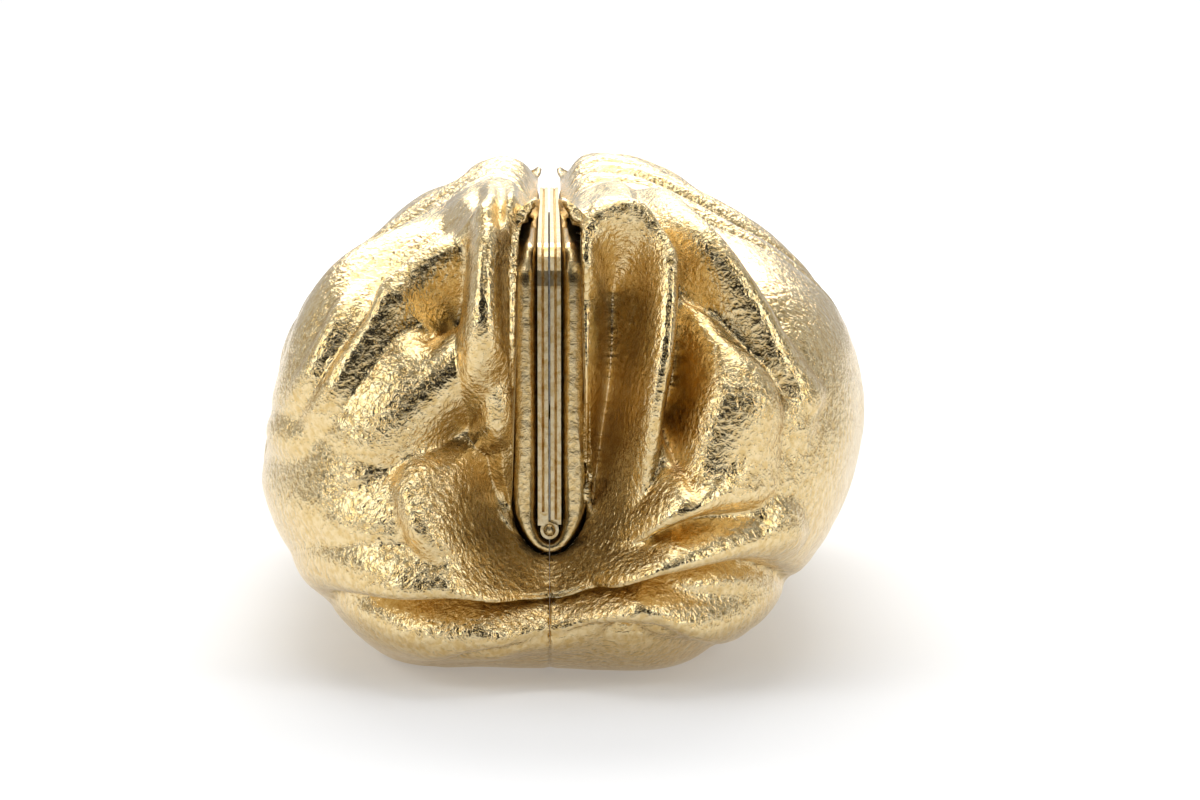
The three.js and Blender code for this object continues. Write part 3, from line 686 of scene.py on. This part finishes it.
def roll_directions(centre):
    """Unit arrows square to the line of a roll: across the bag, and out, away from the middle of
    the arch. Out less its share along the line stands square to it."""
    forward = np.gradient(centre, axis=0)
    forward /= np.linalg.norm(forward, axis=1, keepdims=True)
    heart = np.stack([0 * centre[:, 0], centre[:, 1].clip(-arc_y, arc_y), centre[:, 2]], -1)
    heart[:, 2] = heart[:, 2].clip(None, arc_z)
    out = centre * [0, 1, 1] - heart
    leg = (centre[:, 2] < arc_z)[:, None]
    out = np.where(leg, np.sign(centre[:, 1:2]) * [0, 1, 0], out)
    out -= (out * forward).sum(1, keepdims=True) * forward
    out /= np.linalg.norm(out, axis=1, keepdims=True)
    return np.cross(forward, out), out


def flattened(value):
    """A cosine or sine to the power of the flatness, with its sign kept."""
    return np.sign(value) * np.abs(value) ** roll_flatness


def roll_points(samples=420, sides=28):
    """Each ring is centre + across * cosine + out * sine, both flattened, and shrunk by small uneven
    creases, which are noise of the length along the roll and of the turn round it."""
    line = roll_line()
    shares = np.linspace(0, 1, samples)
    centre = along_line(line, shares)
    across, out = roll_directions(centre)
    grown = np.clip((centre[:, 2] - (hinge_height - curl_drop)) / curl_height, 0, 1)
    half_wide = curl_thickness / 2 + (roll_width / 2 - curl_thickness / 2) * grown
    turn = (np.arange(sides) / sides * 2 * math.pi)[None]
    travelled = (shares * line_length(line))[:, None]
    crease = creased_noise(travelled / 3 + 0.6 * np.sin(turn), 1.6 * np.sin(turn / 2), 61)
    crease += 0.6 * creased_noise(travelled / 1.6, 2 * np.sin(turn / 2) + 5, 62)
    shrink = 1 - 0.022 * crease + 0.012 * soft_noise(travelled / 9, np.sin(turn / 2) * 3, 63)
    wide = half_wide[:, None] * flattened(np.cos(turn)) * shrink
    deep = roll_depth / 2 * flattened(np.sin(turn)) * shrink
    points = centre[:, None] + wide[..., None] * across[:, None] + deep[..., None] * out[:, None]
    points[..., 0] = np.maximum(points[..., 0], curl_gap)
    return points


for side, word in ((-1, "left"), (1, "right")):
    points = roll_points()
    roll = mesh_from_grid(f"roll_{word}", points, side, wrap=True)
    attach(roll, "root")
    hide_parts(f"welt_{word}")
    print(roll.name, "faces", len(roll.data.polygons))

# %% [markdown]
# Inside the mouth the leather of each side turns in behind its bar. The two edges meet when the
# frame is closed, so no light comes through the gap between the bars.

# %% Lining in the mouth
lining_front, lining_back = 9.9, 12.0  # how deep it starts and ends behind the frame's outer face
lining_reach = 2.6  # from the middle plane, how far it reaches sideways


def lining_points(samples=160):
    """A thin flat tube behind the bar: a rectangle of seam_gap to lining_reach, and lining_front to
    lining_back, carried along the frame's outer line."""
    low = hinge_height - 2
    near = [(-half_frame, low), (-half_frame, arc_z)]
    near += [
        (-arc_y - corner_outer * math.cos(turn), arc_z + corner_outer * math.sin(turn))
        for turn in np.linspace(0, math.pi / 2, 8)[1:]
    ]
    near = np.array(near)
    top = np.array([(y, near[-1, 1]) for y in np.linspace(-arc_y, arc_y, 80)[1:-1]])
    line = along_line(np.vstack([near, top, near[::-1] * [-1, 1]]), np.linspace(0, 1, samples))
    heart = np.stack([line[:, 0].clip(-arc_y, arc_y), line[:, 1].clip(None, arc_z)], -1)
    inwards = (heart - line) / corner_outer
    corners = [(seam_gap, lining_front), (seam_gap, lining_back)]
    corners += [(lining_reach, lining_back), (lining_reach, lining_front)]
    rows = [np.column_stack([np.full(samples, x), line + inwards * depth]) for x, depth in corners]
    return np.stack(rows, 1)


for side, word in ((-1, "left"), (1, "right")):
    lining = mesh_from_grid(f"lining_{word}", lining_points(), side, wrap=True)
    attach(lining, "root")
    print(lining.name, "faces", len(lining.data.polygons))

# %% [markdown]
# ## The gold leather
# Foil leather is a thin metal skin on soft hide. It mirrors like metal but is broken up by
# thousands of tiny creases, so a metallic shader with a lively bump does more than any colour map.

# %% Node helpers
def new_material(name):
    """A new material, with its node tree and its shader."""
    material = bpy.data.materials.new(name)
    material.use_nodes = True
    tree = material.node_tree
    return material, tree, tree.nodes["Principled BSDF"]


def add_node(tree, kind, inputs=None, **settings):
    """A node with its settings, its input values and, where a value is a socket, a link to it."""
    node = tree.nodes.new(kind)
    for key, value in settings.items():
        setattr(node, key, value)
    for key, value in (inputs or {}).items():
        if isinstance(value, bpy.types.NodeSocket):
            tree.links.new(value, node.inputs[key])
        else:
            node.inputs[key].default_value = value
    return node


def maths(tree, operation, first, second):
    """The result of an operation on two values, each a number or a socket."""
    return add_node(tree, "ShaderNodeMath", {0: first, 1: second}, operation=operation).outputs[0]


print("materials so far", len(bpy.data.materials))

# %% [markdown]
# One function makes the leather of all parts, because they are the same foil leather. On the pouch
# it is crinkled, on the rolls it is pulled tighter, and on the bars it is nearly smooth.

# %% Foil leather
def noise(tree, vector, scale, kind="FBM", **inputs):
    """A noise texture's value, of a kind such as FBM or RIDGED_MULTIFRACTAL."""
    values = {"Vector": vector, "Scale": scale, **inputs}
    node = add_node(tree, "ShaderNodeTexNoise", values, noise_type=kind, normalize=kind == "FBM")
    return node.outputs["Fac"]


def foil_leather(name, crinkle=1.0, gold=(0.8, 0.64, 0.36, 1), deep=(0.68, 0.48, 0.2, 1), dull=0.13):
    """Fine creases: ridged noise of two sizes and a soft pebble of about 2 mm. Their sum drives the
    bump, and between the pebbles the colour is a little deeper, painted shade. dull is the least roughness."""
    material, tree, shader = new_material(name)
    place = add_node(tree, "ShaderNodeTexCoord")
    metres = place.outputs["Object"]
    creases = noise(tree, metres, 240, "RIDGED_MULTIFRACTAL", Detail=3, Roughness=0.6, Distortion=0.5)
    fine = noise(tree, metres, 620, "RIDGED_MULTIFRACTAL", Detail=2, Roughness=0.5, Distortion=0.3)
    pebble = noise(tree, metres, 520, Detail=3, Roughness=0.6, Distortion=0.4)
    patches = noise(tree, metres, 24, Detail=2)
    lively = add_node(
        tree, "ShaderNodeMapRange", {"Value": patches, "From Min": 0.35, "From Max": 0.65, "To Min": 0.5}
    ).outputs[0]
    # Creases go down and pebbles stand up, more in some patches than in others
    total = maths(tree, "MULTIPLY", creases, -0.22)
    total = maths(tree, "ADD", total, maths(tree, "MULTIPLY", fine, -0.26))
    total = maths(tree, "ADD", total, maths(tree, "MULTIPLY", pebble, 0.75))
    total = maths(tree, "MULTIPLY", total, lively)
    bump = add_node(tree, "ShaderNodeBump", {"Height": total, "Strength": 1.0, "Distance": 0.0011 * crinkle})
    tree.links.new(bump.outputs[0], shader.inputs["Normal"])
    # The deeper colour between the pebbles is painted shade of the small hollows
    depth = add_node(tree, "ShaderNodeMapRange", {"Value": pebble, "From Min": 0.35, "From Max": 0.6})
    colour = add_node(tree, "ShaderNodeMix", data_type="RGBA")
    mix_inputs = [socket for socket in colour.inputs if socket.type == "RGBA"]
    tree.links.new(depth.outputs[0], colour.inputs[0])
    mix_inputs[0].default_value = deep
    mix_inputs[1].default_value = gold
    mixed = [socket for socket in colour.outputs if socket.type == "RGBA"][0]
    tree.links.new(mixed, shader.inputs["Base Color"])
    rough = add_node(tree, "ShaderNodeMapRange", {"Value": patches, "To Min": dull, "To Max": dull + 0.12})
    tree.links.new(rough.outputs[0], shader.inputs["Roughness"])
    shader.inputs["Metallic"].default_value = 1
    return material


pouch_leather = foil_leather("pouch foil leather")
roll_leather = foil_leather("roll foil leather", crinkle=0.25, dull=0.2)
# The frame's copy of the leather has a paler gold than the pouch's: painted light, so that the bars look
# brighter lit
frame_leather = foil_leather("frame foil leather", crinkle=0.05, gold=(0.88, 0.74, 0.48, 1), dull=0.3)
for piece in pouch.values():
    piece.data.materials.append(pouch_leather)
for word in ("left", "right"):
    bpy.data.objects[f"roll_{word}"].data.materials.append(roll_leather)
    bpy.data.objects[f"lining_{word}"].data.materials.append(frame_leather)
print("leather nodes", len(pouch_leather.node_tree.nodes))

# %% [markdown]
# The bars are hard and exact, so the CAD parts show as they are and only get a finish. The rivets
# are worn brass: a fine noise varies their colour and roughness, so that they don't look new.

# %% Frame bars and rivets
rivet_metal, rivet_tree, rivet_shader = new_material("worn brass")
rivet_place = add_node(rivet_tree, "ShaderNodeTexCoord").outputs["Object"]
wear = noise(rivet_tree, rivet_place, 900, Detail=3)
wear_tint = add_node(rivet_tree, "ShaderNodeValToRGB", {"Fac": wear})
wear_tint.color_ramp.elements[0].color = (0.55, 0.38, 0.16, 1)
wear_tint.color_ramp.elements[1].color = (0.85, 0.68, 0.38, 1)
wear_rough = add_node(rivet_tree, "ShaderNodeMapRange", {"Value": wear, "To Min": 0.15, "To Max": 0.4})
rivet_tree.links.new(wear_tint.outputs[0], rivet_shader.inputs["Base Color"])
rivet_tree.links.new(wear_rough.outputs[0], rivet_shader.inputs["Roughness"])
rivet_shader.inputs["Metallic"].default_value = 1


def finish_node(node, material):
    """A CAD part keeps its mesh and only changes its material."""
    print("finish of", node, "is", material.name)
    for piece in bpy.context.scene.objects:
        if piece.get("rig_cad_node") == node:
            piece.data.materials.clear()
            piece.data.materials.append(material)


for word in ("left", "right"):
    finish_node(f"frame_{word}", frame_leather)
for word in ("near", "far"):
    finish_node(f"hinge_rivet_{word}", rivet_metal)

# %% [markdown]
# ## Studio
# A metal skin shows its surroundings, so the room matters as much as the lamps: white overhead and
# behind, darker towards the camera, and a white table.

# %% White table
table_half = 40  # metres, so large that its edge doesn't show
table_corners = [(-1, -1, 0), (1, -1, 0), (1, 1, 0), (-1, 1, 0)]
floor_mesh = bpy.data.meshes.new("floor")
floor_mesh.from_pydata([Vector(corner) * table_half for corner in table_corners], [], [(0, 1, 2, 3)])
floor = bpy.data.objects.new("floor", floor_mesh)
bpy.context.scene.collection.objects.link(floor)
paper, paper_tree, paper_shader = new_material("white paper")
# The paper gets darker towards the camera, painted shade, so that the leather has something dark to mirror
paper_point = add_node(paper_tree, "ShaderNodeTexCoord").outputs["Object"]
paper_place = add_node(paper_tree, "ShaderNodeSeparateXYZ", {"Vector": paper_point}).outputs["Y"]
paper_fade = add_node(
    paper_tree,
    "ShaderNodeMapRange",
    {"Value": paper_place, "From Min": -1.2, "From Max": -0.36, "To Min": 0.45, "To Max": 0.72},
    interpolation_type="SMOOTHSTEP",
)
# It is overexposed, and more so far behind the bag, as in the photo
# The glow is painted light, the paper's own emission: it lightens the shade round the bag and whitens the
# paper far behind it
near_glow = add_node(
    paper_tree,
    "ShaderNodeMapRange",
    {"Value": paper_place, "From Min": -0.9, "From Max": -0.36, "To Min": 0.06, "To Max": 0.24},
    interpolation_type="SMOOTHSTEP",
).outputs[0]
far_glow = add_node(
    paper_tree, "ShaderNodeMapRange", {"Value": paper_place, "From Min": 0.3, "From Max": 2.4, "To Max": 0.5}
).outputs[0]
paper_glow = maths(paper_tree, "ADD", near_glow, far_glow)
paper_tree.links.new(paper_glow, paper_shader.inputs["Emission Strength"])
paper_shader.inputs["Emission Color"].default_value = (1, 1, 1, 1)
paper_tree.links.new(paper_fade.outputs[0], paper_shader.inputs["Base Color"])
paper_shader.inputs["Roughness"].default_value = 0.9
paper_shader.inputs["Specular IOR Level"].default_value = 0.1
floor_mesh.materials.append(paper)
print("table", 2 * table_half, "m wide")

# %% [markdown]
# The room is brightest behind the bag and overhead. In front it is nearly black, which gives the
# near end its dark reflections, and these make gold look like metal and not like yellow plastic.

# %% Room
world = bpy.data.worlds.new("studio")
bpy.context.scene.world = world
world.use_nodes = True
tree = world.node_tree
direction = add_node(tree, "ShaderNodeTexCoord").outputs["Generated"]
split = add_node(tree, "ShaderNodeSeparateXYZ", {"Vector": direction})
behind = add_node(
    tree, "ShaderNodeMapRange", {"Value": split.outputs["Y"], "From Min": -0.1, "From Max": 0.5},
    interpolation_type="SMOOTHSTEP",
)
above = add_node(
    tree, "ShaderNodeMapRange", {"Value": split.outputs["Z"], "From Min": 0.4, "From Max": 0.95},
    interpolation_type="SMOOTHSTEP",
)
lit = maths(tree, "MAXIMUM", behind.outputs[0], maths(tree, "MULTIPLY", above.outputs[0], 0.6))
strength = add_node(tree, "ShaderNodeMapRange", {"Value": lit, "To Min": 0.01, "To Max": 0.64})
background = tree.nodes["Background"]
background.inputs["Color"].default_value = (1, 1, 1, 1)
tree.links.new(strength.outputs[0], background.inputs["Strength"])
print("room nodes", len(tree.nodes))

# %% [markdown]
# Five soft boxes do the rest. The one behind the bag rims its outline, the one overhead lights the
# top and the table, and smaller ones in front and at the sides draw the bright streaks on the folds.

# %% Soft boxes
aim = Vector((0, 0, 0.06))  # a little under the middle of the bag's height


def soft_lamp(name, place, size, power):
    """A soft box that faces the bag: size is its width and height in metres, power is in watts."""
    data = bpy.data.lights.new(name, "AREA")
    data.shape = "RECTANGLE"
    data.size, data.size_y = size
    data.energy = power
    lamp = bpy.data.objects.new(name, data)
    bpy.context.scene.collection.objects.link(lamp)
    lamp.location = place
    lamp.rotation_mode = "QUATERNION"
    lamp.rotation_quaternion = (Vector(place) - aim).to_track_quat("Z", "Y")
    print(name, power, "W")


soft_lamp("overhead", (0.0, 0.0, 1.3), (0.9, 0.9), 6)
soft_lamp("behind", (0.0, 2.6, 2.4), (3.0, 1.5), 90)
soft_lamp("front box", (0.15, -1.5, 1.5), (0.6, 0.3), 1.5)
soft_lamp("left box", (-1.2, -0.5, 0.7), (0.7, 1.0), 6)
soft_lamp("right box", (1.15, -0.7, 0.6), (0.5, 0.9), 4.5)
bpy.context.scene.view_settings.view_transform = "Standard"
